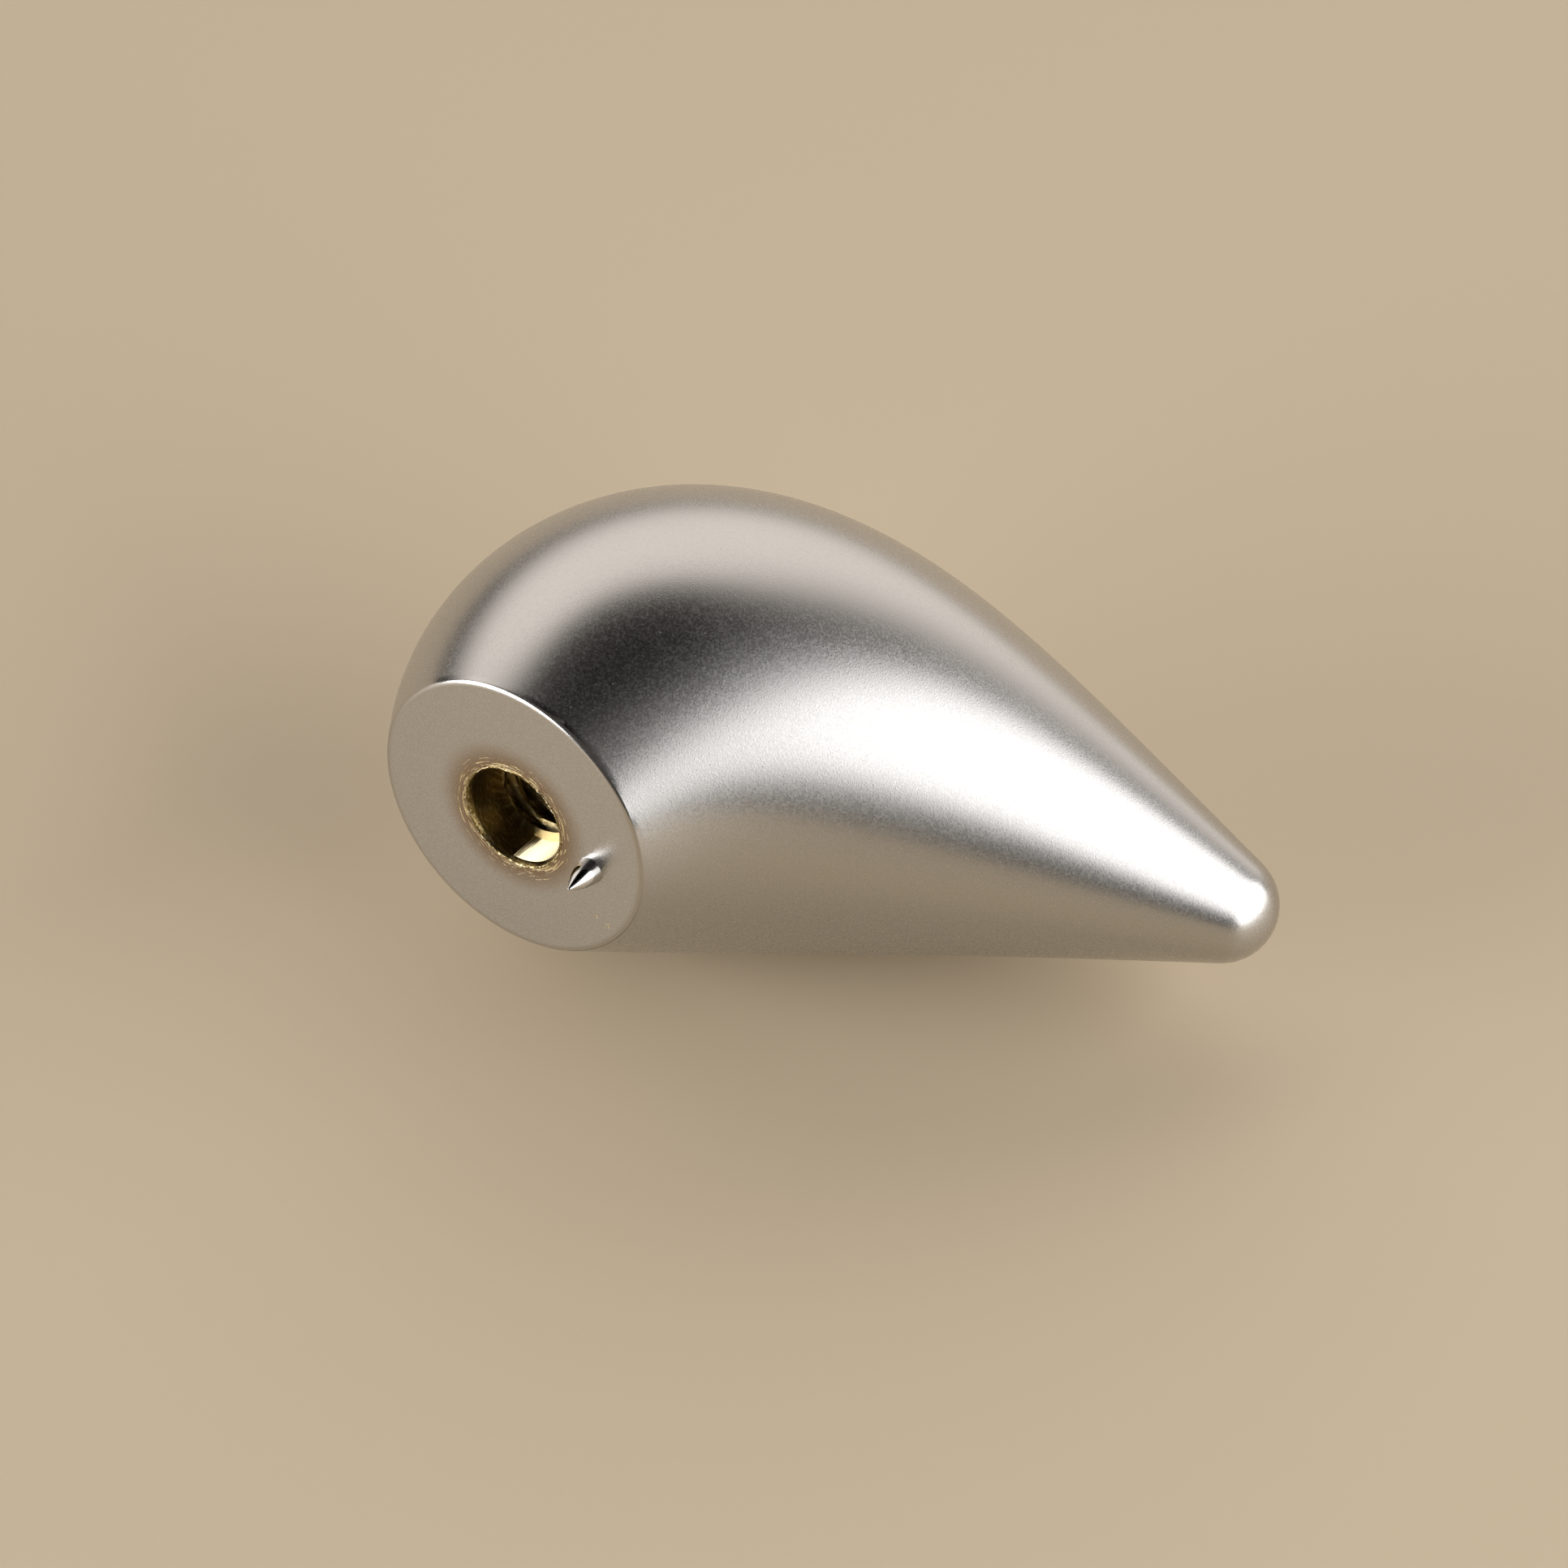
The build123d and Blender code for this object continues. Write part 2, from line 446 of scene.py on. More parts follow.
def scraped_and_lit_wall(add, rise, bearing, streaks, sizes):
    """Mask of the lead-in's lit side, a painted highlight in colour and a rougher, sloped scrape in relief:
    the cosine of the angle to that side, made uneven by streaks.

    It starts inside the mouth's broken edge, and past the top of the thread only a trace of it is left.
    """
    unevenness = 0.3
    side_start = 0.86
    side_full = 1.0
    trace = 0.15
    trace_depth = 0.2 * MM
    past_mouth = 1.2 * sizes.mouth_depth
    facing = {0: bearing, 1: SCRAPED_AND_LIT_SIDE}
    facing = add("ShaderNodeVectorMath", facing, operation="DOT_PRODUCT").outputs["Value"]
    uneven = {0: streaks, 1: unevenness, 2: facing}
    uneven = add("ShaderNodeMath", uneven, operation="MULTIPLY_ADD").outputs[0]
    side = {"Value": uneven, "From Min": side_start, "From Max": side_full}
    side = add("ShaderNodeMapRange", side).outputs["Result"]
    shallow = {"Value": rise, "From Min": THREAD_TOP, "From Max": THREAD_TOP + trace_depth}
    shallow.update({"To Min": 1.0, "To Max": trace})
    shallow = add("ShaderNodeMapRange", shallow).outputs["Result"]
    inside = {"Value": rise, "From Min": sizes.mouth_depth, "From Max": past_mouth}
    inside = add("ShaderNodeMapRange", inside).outputs["Result"]
    scraped_and_lit = add("ShaderNodeMath", {0: side, 1: shallow}, operation="MULTIPLY").outputs[0]
    return add("ShaderNodeMath", {0: scraped_and_lit, 1: inside}, operation="MULTIPLY").outputs[0]


def bare_brass(colours, sizes):
    """Bare machined brass: drilled and tapped, never plated.

    To the eye, darkened inside with painted shade, and brightened with painted highlight in clean brass on
    one side of the lead-in, which is also rougher and streaky, on the peaks of the burr, which sparkles
    with chips, and a little along the tool marks.
    """
    streak_width = 0.07 * MM
    streak_length = 1.2 * MM
    streak_depth = 0.006 * MM
    tool_pitch = 0.05 * MM
    tool_per_radian = 9
    tool_depth = 0.006 * MM
    glint_start = 0.5
    glint_full = 0.75
    glint_strength = 0.4
    burr_peak_lit = -0.45 * sizes.burr_height
    burr_start = -0.2 * sizes.burr_height
    chip_width = 0.07 * MM
    chip_depth = 0.025 * MM
    scraped_slope = 1.2
    wall_roughness = 0.3
    scraped_roughness = 0.5
    material, add = new_material("bare_brass")
    place, rise, _, bearing = axis_coordinates(add)

    # Streaks run along the hole, and tool marks around it
    streaks_per_radian = sizes.lead_in_diameter / 2 / streak_width
    streaks = noise_around(add, bearing, streaks_per_radian, rise, streak_length, detail=2.0)
    tool = noise_around(add, bearing, tool_per_radian, rise, tool_pitch, detail=1.0)

    # Colour: painted highlight in clean brass on the lit side, on the burr's peaks and a little along the
    # tool marks, and painted shade in dark brass elsewhere
    scraped_and_lit = scraped_and_lit_wall(add, rise, bearing, streaks, sizes)
    # The burr's peaks get painted highlight in clean brass, and its lower parts painted shade
    burr = {"Value": rise, "From Min": burr_peak_lit, "From Max": burr_start, "To Min": 1.0, "To Max": 0.0}
    burr = add("ShaderNodeMapRange", burr).outputs["Result"]
    # Painted glints: the colour is lifted towards clean brass along the tool marks
    tool_glints = {"Value": tool, "From Min": glint_start, "From Max": glint_full, "To Max": glint_strength}
    tool_glints = add("ShaderNodeMapRange", tool_glints).outputs["Result"]
    # clean is the share of painted highlight, and the dark brass that it leaves is painted shade
    clean = add("ShaderNodeMath", {0: scraped_and_lit, 1: burr}, operation="MAXIMUM").outputs[0]
    clean = add("ShaderNodeMath", {0: clean, 1: tool_glints}, operation="MAXIMUM").outputs[0]
    tint = {0: clean, 6: (*colours.painted_hole_shade, 1), 7: (*colours.brass, 1)}
    tint = add("ShaderNodeMix", tint, data_type="RGBA").outputs[2]
    roughness = {"Value": scraped_and_lit, "To Min": wall_roughness, "To Max": scraped_roughness}
    roughness = add("ShaderNodeMapRange", roughness).outputs["Result"]

    # Relief: streaks and tool marks all over, and chips on the burr
    chips = {"Vector": place, "Scale": 1 / chip_width, "Detail": 2.0}
    chips = add("ShaderNodeTexNoise", chips).outputs["Fac"]
    height = {0: streaks, 1: streak_depth}
    height = add("ShaderNodeMath", height, operation="MULTIPLY").outputs[0]
    height = {0: tool, 1: tool_depth, 2: height}
    height = add("ShaderNodeMath", height, operation="MULTIPLY_ADD").outputs[0]
    deep = add("ShaderNodeMath", {0: burr, 1: chip_depth}, operation="MULTIPLY").outputs[0]
    height = {0: chips, 1: deep, 2: height}
    height = add("ShaderNodeMath", height, operation="MULTIPLY_ADD").outputs[0]
    bump = add("ShaderNodeBump", {"Distance": 1.0, "Height": height}).outputs["Normal"]

    # The scraped side is cut at a slope that faces the mouth
    sloped = {0: rise, 1: scraped_slope, 2: height}
    sloped = add("ShaderNodeMath", sloped, operation="MULTIPLY_ADD").outputs[0]
    sloped = add("ShaderNodeBump", {"Distance": 1.0, "Height": sloped}).outputs["Normal"]
    bump = {0: scraped_and_lit, 4: bump, 5: sloped}
    bump = add("ShaderNodeMix", bump, data_type="VECTOR").outputs[1]
    bump = add("ShaderNodeVectorMath", {0: bump}, operation="NORMALIZE").outputs["Vector"]
    metal = {"Base Color": tint, "Metallic": 1.0, "Roughness": roughness, "Normal": bump}
    shader = add("ShaderNodeBsdfPrincipled", metal).outputs["BSDF"]
    add("ShaderNodeOutputMaterial", {"Surface": shader})
    return material


# Polished steel and paper


def polished_steel(colours):
    """Polished steel: a turned and tumbled pin.

    To the eye, a small mirror that shows the softboxes as sharp streaks, with faint turning rings.
    """
    ring_pitch = 0.08 * MM
    ring_length = 0.4 * MM
    ring_depth = 0.0006 * MM
    smoothest = 0.06
    roughest = 0.16
    material, add = new_material("polished_steel")
    place = add("ShaderNodeTexCoord").outputs["Object"]
    squeeze = {0: place, 1: (1 / ring_length, 1 / ring_pitch, 1 / ring_length)}
    ring_place = add("ShaderNodeVectorMath", squeeze, operation="MULTIPLY").outputs["Vector"]
    rings = {"Vector": ring_place, "Scale": 1.0, "Detail": 2.0}
    rings = add("ShaderNodeTexNoise", rings).outputs["Fac"]
    bump = add("ShaderNodeBump", {"Distance": ring_depth, "Height": rings}).outputs["Normal"]
    roughness = {"Value": rings, "To Min": smoothest, "To Max": roughest}
    roughness = add("ShaderNodeMapRange", roughness).outputs["Result"]
    metal = {"Base Color": (*colours.steel, 1), "Metallic": 1.0, "Roughness": roughness, "Normal": bump}
    shader = add("ShaderNodeBsdfPrincipled", metal).outputs["BSDF"]
    add("ShaderNodeOutputMaterial", {"Surface": shader})
    return material


def floor_paper(colours):
    """Matte paper: even and pale, and open from below so that low views aren't blocked."""
    material, add = new_material("floor_paper")
    sheet = {"Base Color": (*colours.floor, 1), "Roughness": 0.5}
    paper = add("ShaderNodeBsdfPrincipled", sheet).outputs["BSDF"]
    clear = add("ShaderNodeBsdfTransparent").outputs["BSDF"]
    below = add("ShaderNodeNewGeometry").outputs["Backfacing"]
    shader = add("ShaderNodeMixShader", {0: below, 1: paper, 2: clear}).outputs["Shader"]
    add("ShaderNodeOutputMaterial", {"Surface": shader})
    return material


# Body


def around(columns):
    """Angles of the points around a ring, from the side away from the tail and past +Z first."""
    return np.arange(columns) * (2 * pi / columns)


def ragged(angles, slowest, fastest, seed):
    """Closed rough line from 0 to 1 around a ring: a sum of waves with random phases.

    The waves run from slowest to fastest, counted in whole waves around the ring.
    """
    waves = np.arange(slowest, fastest + 1)
    phases = np.random.default_rng(seed).uniform(0, 2 * pi, len(waves))
    line = np.cos(waves[:, None] * angles + phases[:, None]).sum(axis=0)
    return (line - line.min()) / (line.max() - line.min())


def turned(radius, rise, columns=BODY_COLUMNS, reach=0.0):
    """Rings about an axis along Y: x = reach - radius * cos(a), y = rise, z = radius * sin(a).

    radius and rise have a row for each ring, and one column or a column for each angle.
    """
    angles = around(columns)
    radius = np.asarray(radius).reshape(len(radius), -1)
    rise = np.asarray(rise).reshape(len(rise), -1)
    x = reach - radius * np.cos(angles)
    z = radius * np.sin(angles)
    return np.stack([x, np.broadcast_to(rise, x.shape), z], axis=-1)


def travelling_ball(sizes, along):
    """Centre, radius, heading and slope of the ball along its way, from 0 at the seat to 1 at the tip.

    The ball's reach, rise and radius follow one cubic Bezier curve with four control balls: neck, belly,
    shoulder and tip. Slope is the radius gained for each length of the centre's path.
    """
    neck = hypot(sizes.seat_diameter / 2, sizes.neck_rise)
    belly = neck + sizes.belly_climb * sizes.neck_rise / neck
    balls = np.array(
        [
            (0, sizes.neck_rise, neck),
            (0, sizes.neck_rise + sizes.belly_climb, belly),
            (sizes.shoulder_reach, sizes.shoulder_rise, sizes.shoulder_radius),
            (TAIL_END - sizes.tip_radius, sizes.tip_rise, sizes.tip_radius),
        ]
    )
    left = 1 - along
    ball = np.stack([left**3, 3 * left**2 * along, 3 * left * along**2, along**3], axis=1) @ balls
    change = 3 * np.stack([left**2, 2 * left * along, along**2], axis=1) @ np.diff(balls, axis=0)
    speed = np.hypot(change[:, 0], change[:, 1])
    return ball[:, :2], ball[:, 2], change[:, :2] / speed[:, None], change[:, 2] / speed


def skin_rings(centre, radius, heading, lean):
    """Rings where balls touch the skin.

    A point of a ring is the ball's centre plus its radius along the normal, which leans forward from the
    path's cross plane: normal = sin(lean) * heading + cos(lean) * (cos(a) * across + sin(a) * Z).
    """
    angles = around(BODY_COLUMNS)
    across = np.stack([-heading[:, 1], heading[:, 0]], axis=1)
    forward = centre + (radius * np.sin(lean))[:, None] * heading
    width = (radius * np.cos(lean))[:, None]
    flat = forward[:, None, :] + (width * np.cos(angles))[..., None] * across[:, None, :]
    return np.concatenate([flat, (width * np.sin(angles))[..., None]], axis=2)


def thread_radius(sizes, rise):
    """Radius of the tapped wall for each ring and each angle.

    The groove is a trapezoid wave of (rise / pitch - angle / turn), right-handed, with a crest a quarter
    and a root an eighth of the pitch wide. It runs out over the last turn and a half at the bottom.
    """
    crest_share = 1 / 4
    root_share = 1 / 8
    runout_turns = 1.5
    turns = rise[:, None] / sizes.thread_pitch - around(BODY_COLUMNS)[None, :] / (2 * pi)
    wave = np.abs(2 * (turns % 1) - 1)
    groove = np.clip((wave - crest_share) / (1 - crest_share - root_share), 0, 1)
    runout = np.clip((THREAD_BOTTOM - rise) / (runout_turns * sizes.thread_pitch), 0, 1)
    return THREAD_CREST + sizes.thread_depth * groove * runout[:, None]


def hole_rings(sizes):
    """Rings of the screw hole from its bottom to its mouth: drill cone, thread, lead-in and burr.

    The burr is half a sine wave across. Slow waves gather its height into clumps and fast ones break them
    up, but it keeps a tenth of its height all around, and its place wanders by up to half its width.
    """
    smallest_share = 0.1
    lowest_share = 0.1
    cone = np.linspace(smallest_share, 1, DRILL_RINGS) * THREAD_CREST
    turns = (THREAD_BOTTOM - THREAD_TOP) / sizes.thread_pitch
    thread_rise = np.linspace(THREAD_BOTTOM, THREAD_TOP, round(turns * RINGS_PER_TURN))
    wall_rise = np.linspace(THREAD_TOP, sizes.mouth_depth, LEAD_IN_RINGS)
    lead_in = sizes.lead_in_diameter / 2
    angles = around(BODY_COLUMNS)
    clumps = ragged(angles, slowest=2, fastest=14, seed=5) * ragged(angles, slowest=25, fastest=100, seed=3)
    height = sizes.burr_height * (lowest_share + (1 - lowest_share) * clumps / clumps.max())
    wander = sizes.burr_width * (ragged(angles, slowest=5, fastest=60, seed=8) - 1 / 2)
    across = np.linspace(0, 1, BURR_RINGS)[:, None]
    ridge = np.sin(pi * across)
    burr_radius = lead_in + sizes.mouth_width + sizes.burr_width * across + wander * ridge
    return np.concatenate(
        [
            turned(cone, THREAD_BOTTOM + (THREAD_CREST - cone) / tan(sizes.drill_point / 2)),
            turned(thread_radius(sizes, thread_rise), thread_rise),
            turned(np.full_like(wall_rise, lead_in), wall_rise),
            turned(burr_radius, -height * ridge),
        ]
    )


def seat_rings(sizes):
    """Rings of the flat seat from the burr outwards, and of the arc around its rim up to the neck ball.

    The arc's centre lies one rim radius above the seat, and one rim radius inside the neck ball.
    """
    inner = sizes.lead_in_diameter / 2 + sizes.mouth_width + sizes.burr_width
    neck = hypot(sizes.seat_diameter / 2, sizes.neck_rise)
    drop = sizes.neck_rise - sizes.rim_radius
    flat = sqrt((neck - sizes.rim_radius) ** 2 - drop**2)
    flat_radius = steps(inner, flat, SEAT_RINGS)
    turn = steps(0, pi / 2 - atan2(drop, flat), RIM_RINGS)
    return (
        turned(flat_radius, np.zeros_like(flat_radius)),
        turned(flat + sizes.rim_radius * np.sin(turn), sizes.rim_radius * (1 - np.cos(turn))),
    )


def drop_rings(sizes):
    """Rings of the bent drop's skin from above the rim to the tip, then of the tip ball, and its pole.

    Where the ball's radius grows by slope, its normal leans back by asin(slope). On the tip ball the lean
    goes on to the pole.
    """
    clear_of_rim = 0.6 * sizes.rim_radius
    centre, radius, heading, slope = travelling_ball(sizes, np.linspace(0, 1, SKIN_RINGS))
    skin = skin_rings(centre, radius, heading, -np.arcsin(slope))
    above_rim = skin[:, 0, 1] > clear_of_rim
    lean = np.linspace(-asin(slope[-1]), pi / 2, TIP_RINGS + 2)[1:-1]
    tip_centre = np.broadcast_to(centre[-1], (len(lean), 2))
    tip_heading = np.broadcast_to(heading[-1], (len(lean), 2))
    tip = skin_rings(tip_centre, np.full_like(lean, radius[-1]), tip_heading, lean)
    pole = (*(centre[-1] + radius[-1] * heading[-1]), 0)
    return np.concatenate([skin[above_rim], tip]), pole


def spike_block(seat, first_seat_row):
    """First and last row, and left and right column, of the block of seat cells around the spike's hole."""
    half = 1.6 * SPIKE_RADIUS
    rows = np.flatnonzero(np.abs(-seat[:, 0, 0] - SPIKE_REACH) < half) + first_seat_row
    columns = round(half / SPIKE_REACH / (2 * pi / BODY_COLUMNS))
    middle = BODY_COLUMNS // 2
    return rows[0], rows[-1], middle - columns, middle + columns


def block_outline(first_row, last_row, left, right):
    """Rows and columns of the points around a block of cells, in the order that keeps faces outward."""
    wide = right - left
    tall = last_row - first_row
    down = np.arange(last_row, first_row, -1)
    back = np.arange(right, left, -1)
    rows = [np.full(wide, last_row), down, np.full(wide, first_row), np.arange(first_row, last_row)]
    columns = [back, np.full(tall, left), np.arange(left, right), np.full(tall, right)]
    return np.concatenate(rows), np.concatenate(columns)


def spike_hole_loops(outline, depth):
    """Loops from an outline on the seat straight in to the spike's round hole, and down its wall."""
    inward_shares = (0.4, 0.7, 0.9, 1.0)
    downward_shares = (0.5, 1.0)
    bearing = np.arctan2(outline[:, 2], outline[:, 0] - SPIKE_REACH)
    x = SPIKE_REACH + SPIKE_RADIUS * np.cos(bearing)
    z = SPIKE_RADIUS * np.sin(bearing)
    circle = np.stack([x, np.zeros_like(x), z], axis=1)
    inward = np.array(inward_shares)[:, None, None]
    downward = np.array(downward_shares)[:, None, None]
    bottom = np.array([0, depth, 0])
    return np.concatenate([outline + inward * (circle - outline), circle + downward * bottom])


def body_mesh(sizes):
    """Points, faces and face materials of the whole body: 0 is chrome and 1 is brass.

    One grid of rings runs from the bottom of the screw hole over the seat and the drop to the tip. A block
    of its cells on the seat is left out for loops that lead into the spike's hole.
    """
    hole = hole_rings(sizes)
    seat, rim = seat_rings(sizes)
    drop, tip_pole = drop_rings(sizes)
    grid = np.concatenate([hole, seat, rim, drop])
    numbers = np.arange(grid.shape[0] * BODY_COLUMNS).reshape(-1, BODY_COLUMNS)

    first_row, last_row, left, right = spike_block(seat, len(hole))
    rows, columns = block_outline(first_row, last_row, left, right)
    spike_depth = SPIKE_HIGH[1] + sizes.spike_hole_relief
    loops = spike_hole_loops(grid[rows, columns], spike_depth)
    loop_numbers = numbers.size + np.arange(loops.shape[0] * loops.shape[1]).reshape(loops.shape[:2])
    loop_numbers = np.concatenate([numbers[rows, columns][None, :], loop_numbers])

    drill_end = (0, THREAD_BOTTOM + THREAD_CREST / tan(sizes.drill_point / 2), 0)
    poles = [drill_end, tip_pole, (SPIKE_REACH, spike_depth, 0)]
    points = np.concatenate([grid.reshape(-1, 3), loops.reshape(-1, 3), poles])
    drill_pole = len(points) - len(poles)

    keep = np.ones((len(grid) - 1, BODY_COLUMNS), dtype=bool)
    keep[first_row:last_row, left:right] = False
    is_brass = np.arange(len(grid) - 1) < len(hole) - 1
    cells = loop_faces(numbers)[keep]
    patch = loop_faces(loop_numbers).reshape(-1, 4)
    drill_fan = fan_faces(numbers[0], drill_pole)[:, ::-1]
    tip_fan = fan_faces(numbers[-1], drill_pole + 1)
    spike_hole_fan = fan_faces(loop_numbers[-1], drill_pole + 2)
    blocks = [cells, drill_fan, patch, tip_fan, spike_hole_fan]
    faces = [face for block in blocks for face in block.tolist()]
    face_materials = np.zeros(len(faces), dtype=int)
    face_materials[: len(cells)] = np.broadcast_to(is_brass[:, None], keep.shape)[keep]
    face_materials[len(cells) : len(cells) + len(drill_fan)] = 1
    return points, faces, face_materials


class KNOB_OT_make_body(bpy.types.Operator):
    """Make the knob's body with its screw hole, its seat and the hole for the spike"""

    bl_idname = "knob.make_body"
    bl_label = "Make body"

    def execute(self, context):
        sizes = context.scene.knob_sizes
        colours = context.scene.knob_colours
        points, faces, face_materials = body_mesh(sizes)
        materials = [satin_chrome(colours, sizes), bare_brass(colours, sizes)]
        body = make_piece("knob_body_dressed", points, faces, materials, face_materials)
        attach(body, "root")
        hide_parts("knob_body")
        return {"FINISHED"}


# Spike


def spike_rings(sizes):
    """Rings of the spike from just off its point to the end of its shank.

    A ball's arc, then a flank that leaves its end and swells out by half a sine wave, then the shank. The
    arc ends where a straight flank to the seat would be tangent to it.
    """
    ball = sizes.spike_tip_radius
    ball_rise = SPIKE_LOW[1] + ball
    flank_turn = pi / 2 - asin(ball / hypot(SPIKE_RADIUS, ball_rise)) + atan2(-ball_rise, SPIKE_RADIUS)
    turn = steps(0, pi - flank_turn, SPIKE_TIP_RINGS)
    arc_radius = ball * np.sin(turn)
    arc_rise = ball_rise - ball * np.cos(turn)
    along = steps(0, 1, SPIKE_FLANK_RINGS)
    swell = sizes.spike_bulge * np.sin(pi * along)
    flank_radius = arc_radius[-1] + along * (SPIKE_RADIUS - arc_radius[-1]) + swell
    flank_rise = arc_rise[-1] * (1 - along)
    shank_rise = steps(0, SPIKE_HIGH[1], SPIKE_SHANK_RINGS)
    radius = np.concatenate([arc_radius, flank_radius, np.full_like(shank_rise, SPIKE_RADIUS)])
    rise = np.concatenate([arc_rise, flank_rise, shank_rise])
    return turned(radius, rise, SPIKE_COLUMNS, SPIKE_REACH)


class KNOB_OT_make_spike(bpy.types.Operator):
    """Make the steel spike that keeps the knob from turning on the door"""

    bl_idname = "knob.make_spike"
    bl_label = "Make spike"

    def execute(self, context):
        rings = spike_rings(context.scene.knob_sizes)
        numbers = np.arange(len(rings) * SPIKE_COLUMNS).reshape(-1, SPIKE_COLUMNS)
        poles = [(SPIKE_REACH, SPIKE_LOW[1], 0), (SPIKE_REACH, SPIKE_HIGH[1], 0)]
        points = np.concatenate([rings.reshape(-1, 3), poles])
        point_fan = fan_faces(numbers[0], numbers.size)[:, ::-1]
        shank_fan = fan_faces(numbers[-1], numbers.size + 1)
        faces = loop_faces(numbers).reshape(-1, 4).tolist() + point_fan.tolist() + shank_fan.tolist()
        materials = [polished_steel(context.scene.knob_colours)]
        spike = make_piece("locating_spike_dressed", points, faces, materials, np.zeros(len(faces)))
        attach(spike, "root")
        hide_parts("locating_spike")
        return {"FINISHED"}


# Studio


def camera_axes(studio):
    """Camera's right, up and back directions.

    Azimuth and elevation give the back, and roll turns the other two about it.
    """
    azimuth, elevation, roll = studio.camera_azimuth, studio.camera_elevation, studio.camera_roll
    back = Vector((sin(azimuth) * cos(elevation), -cos(azimuth) * cos(elevation), sin(elevation)))
    level = Vector((0, 0, 1)).cross(back).normalized()
    right = cos(roll) * level + sin(roll) * back.cross(level)
    return right, back.cross(right), back


def placed(axes, location):
    """Matrix that turns local X, Y and Z to the given axes and moves them to the location."""
    return Matrix.Translation(location) @ Matrix(axes).transposed().to_4x4()


def level_direction(azimuth, right, front):
    """Level direction at an azimuth, which runs from the camera's side towards its right."""
    return sin(azimuth) * right + cos(azimuth) * front


def make_camera(scene, studio, axes):
    """Camera with a long lens, looking at its target, with depth of field off."""
    lens = bpy.data.cameras.new("camera")
    lens.lens = studio.camera_lens
    lens.sensor_width = 36
    lens.clip_start = 0.01
    lens.clip_end = 10
    camera = bpy.data.objects.new("camera", lens)
    camera.matrix_world = placed(axes, Vector(studio.camera_target) + axes[2] * studio.camera_distance)
    scene.collection.objects.link(camera)
    scene.camera = camera


def make_floor(scene, studio, right, up, front):
    """Square floor that just touches the underside of the drop.

    The lowest of many travelling balls, each by its centre's height less its radius, rests on it.
    """
    trials = 400
    centre, radius, _, _ = travelling_ball(scene.knob_sizes, np.linspace(0, 1, trials))
    lowest = float((centre @ np.array(up[:2]) - radius).min())
    half = studio.floor_width / 2
    signs = ((-1, 1), (1, 1), (1, -1), (-1, -1))
    corners = [up * lowest + half * (x * right + y * front) for x, y in signs]
    mesh = bpy.data.meshes.new("floor")
    mesh.from_pydata(corners, [], [(0, 1, 2, 3)])
    mesh.materials.append(floor_paper(scene.knob_colours))
    floor = bpy.data.objects.new("floor", mesh)
    scene.collection.objects.link(floor)


def make_softbox(scene, studio, name, right, up, front):
    """Oval softbox at the azimuth and elevation that the studio has for its name, facing the target.

    A flat lamp of an even brightness L gives off pi * L for each square metre, and an oval has pi / 4 of
    the area of the rectangle around it.
    """
    azimuth = getattr(studio, f"{name}_azimuth")
    elevation = getattr(studio, f"{name}_elevation")
    width = getattr(studio, f"{name}_width")
    height = getattr(studio, f"{name}_height")
    radiance = getattr(studio, f"{name}_radiance")
    lamp = bpy.data.lights.new(f"{name}_softbox", "AREA")
    lamp.shape = "ELLIPSE"
    lamp.size = width
    lamp.size_y = height
    lamp.energy = pi * radiance * width * height * pi / 4
    out = cos(elevation) * level_direction(azimuth, right, front) + sin(elevation) * up
    across = up.cross(out).normalized()
    location = Vector(studio.camera_target) + out * studio.softbox_distance
    softbox = bpy.data.objects.new(f"{name}_softbox", lamp)
    softbox.matrix_world = placed((across, out.cross(across), out), location)
    softbox.visible_camera = False
    scene.collection.objects.link(softbox)


def make_room(scene, studio, right, up, front):
    """World light: a pale wall in one direction, a dim room in the others and a dark ceiling.

    The wall fades in with the cosine of the angle to its middle. At its foot, which falls towards the
    camera's right, it fades into the room, and at its top into the ceiling.
    """
    wall_start = 0.05
    wall_full = 0.6
    foot_fall = 1 / 4
    foot_low = sin(radians(-5))
    foot_high = sin(radians(17))
    ceiling_start = sin(radians(52))
    ceiling_full = sin(radians(69))
    scene.world = bpy.data.worlds.new("room")
    scene.world.use_nodes = True
    scene.world.node_tree.nodes.clear()
    add = partial(add_node, scene.world.node_tree)
    look = add("ShaderNodeTexCoord").outputs["Generated"]

    wall = {0: look, 1: level_direction(studio.wall_azimuth, right, front)}
    facing = add("ShaderNodeVectorMath", wall, operation="DOT_PRODUCT").outputs["Value"]
    sides = {"Value": facing, "From Min": wall_start, "From Max": wall_full}
    sides.update({"To Min": studio.room_radiance, "To Max": studio.wall_radiance})
    sides = add("ShaderNodeMapRange", sides, interpolation_type="SMOOTHSTEP").outputs["Result"]

    foot = {0: look, 1: (up + right * foot_fall).normalized()}
    rise = add("ShaderNodeVectorMath", foot, operation="DOT_PRODUCT").outputs["Value"]
    walls = {"Value": rise, "From Min": foot_low, "From Max": foot_high}
    walls.update({"To Min": studio.room_radiance, "To Max": sides})
    walls = add("ShaderNodeMapRange", walls, interpolation_type="SMOOTHSTEP").outputs["Result"]

    height = add("ShaderNodeVectorMath", {0: look, 1: up}, operation="DOT_PRODUCT").outputs["Value"]
    strength = {"Value": height, "From Min": ceiling_start, "From Max": ceiling_full}
    strength.update({"To Min": walls, "To Max": studio.ceiling_radiance})
    strength = add("ShaderNodeMapRange", strength, interpolation_type="SMOOTHSTEP").outputs["Result"]
    light = {"Color": (*scene.knob_colours.wall, 1), "Strength": strength}
    light = add("ShaderNodeBackground", light).outputs["Background"]
    add("ShaderNodeOutputWorld", {"Surface": light})


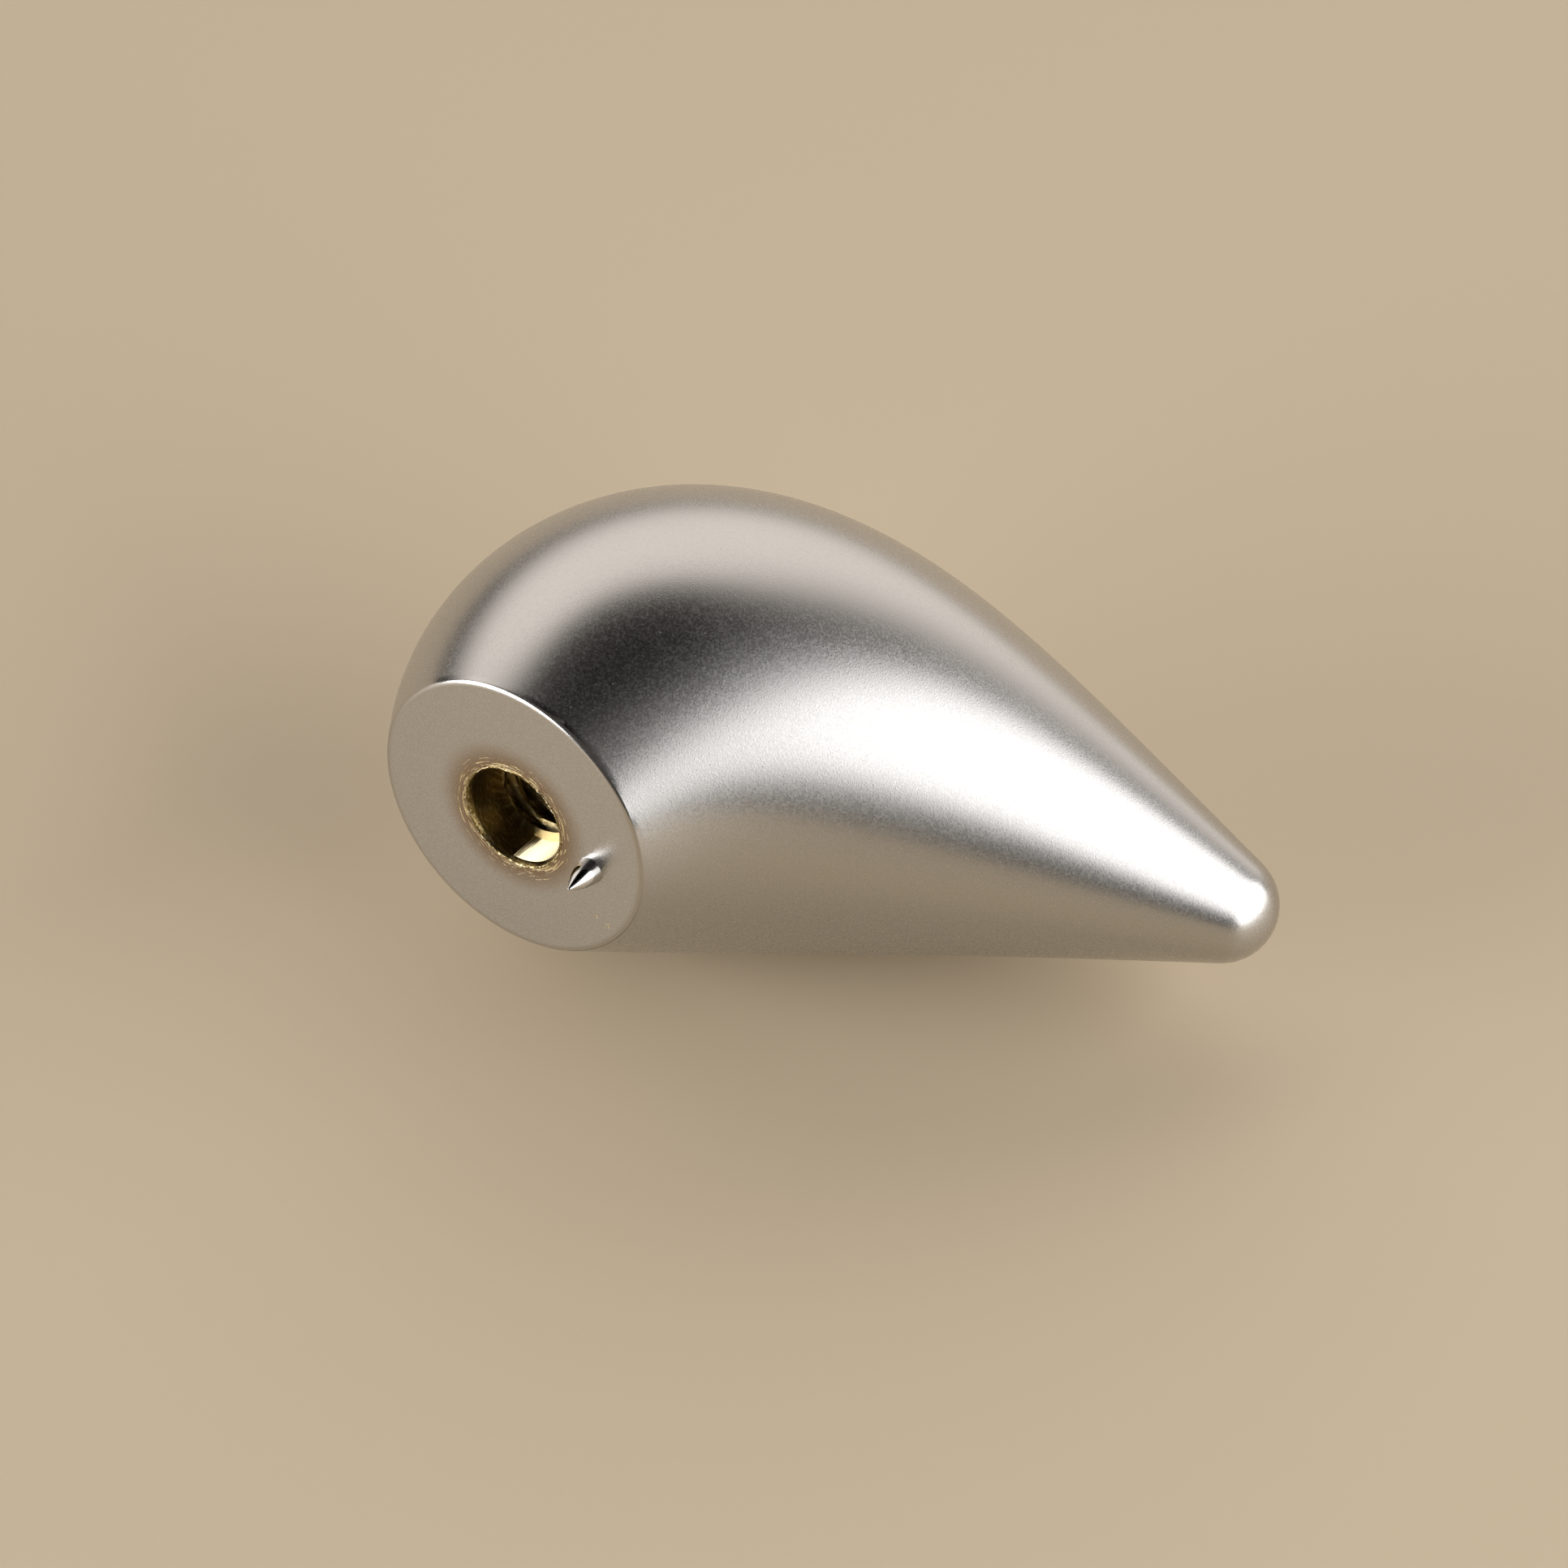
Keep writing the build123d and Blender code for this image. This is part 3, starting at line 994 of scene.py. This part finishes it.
class KNOB_OT_make_studio(bpy.types.Operator):
    """Make the camera, the pale floor, the softboxes and the room around them"""

    bl_idname = "knob.make_studio"
    bl_label = "Make studio"

    def execute(self, context):
        scene = context.scene
        studio = scene.knob_studio
        axes = camera_axes(studio)
        right = axes[0]
        up = (Vector((0, 0, 1)) - right * right.z).normalized()
        front = right.cross(up)
        make_camera(scene, studio, axes)
        make_floor(scene, studio, right, up, front)
        for name in ("key", "side"):
            make_softbox(scene, studio, name, right, up, front)
        make_room(scene, studio, right, up, front)
        scene.view_settings.view_transform = "Standard"
        return {"FINISHED"}


class KNOB_PT_panel(bpy.types.Panel):
    """Sizes, colours and buttons for the knob"""

    bl_idname = "KNOB_PT_panel"
    bl_label = "Cabinet knob"
    bl_space_type = "VIEW_3D"
    bl_region_type = "UI"
    bl_category = "Knob"

    def draw(self, context):
        for group in ("knob_sizes", "knob_colours", "knob_studio"):
            box = self.layout.box()
            settings = getattr(context.scene, group)
            for name in settings.__annotations__:
                box.prop(settings, name)
        for operator in (KNOB_OT_make_body, KNOB_OT_make_spike, KNOB_OT_make_studio):
            self.layout.operator(operator.bl_idname)


CLASSES = (
    KnobSizes,
    KnobColours,
    KnobStudio,
    KNOB_OT_make_body,
    KNOB_OT_make_spike,
    KNOB_OT_make_studio,
    KNOB_PT_panel,
)


def register():
    """Adds the classes, and the knob's settings to every scene."""
    for kind in CLASSES:
        bpy.utils.register_class(kind)
    bpy.types.Scene.knob_sizes = PointerProperty(type=KnobSizes)
    bpy.types.Scene.knob_colours = PointerProperty(type=KnobColours)
    bpy.types.Scene.knob_studio = PointerProperty(type=KnobStudio)


def unregister():
    """Takes the settings and the classes away again."""
    del bpy.types.Scene.knob_studio
    del bpy.types.Scene.knob_colours
    del bpy.types.Scene.knob_sizes
    for kind in reversed(CLASSES):
        bpy.utils.unregister_class(kind)


def main():
    """Makes the knob and its studio."""
    register()
    bpy.ops.knob.make_body()
    bpy.ops.knob.make_spike()
    bpy.ops.knob.make_studio()


if __name__ == "__main__":
    main()
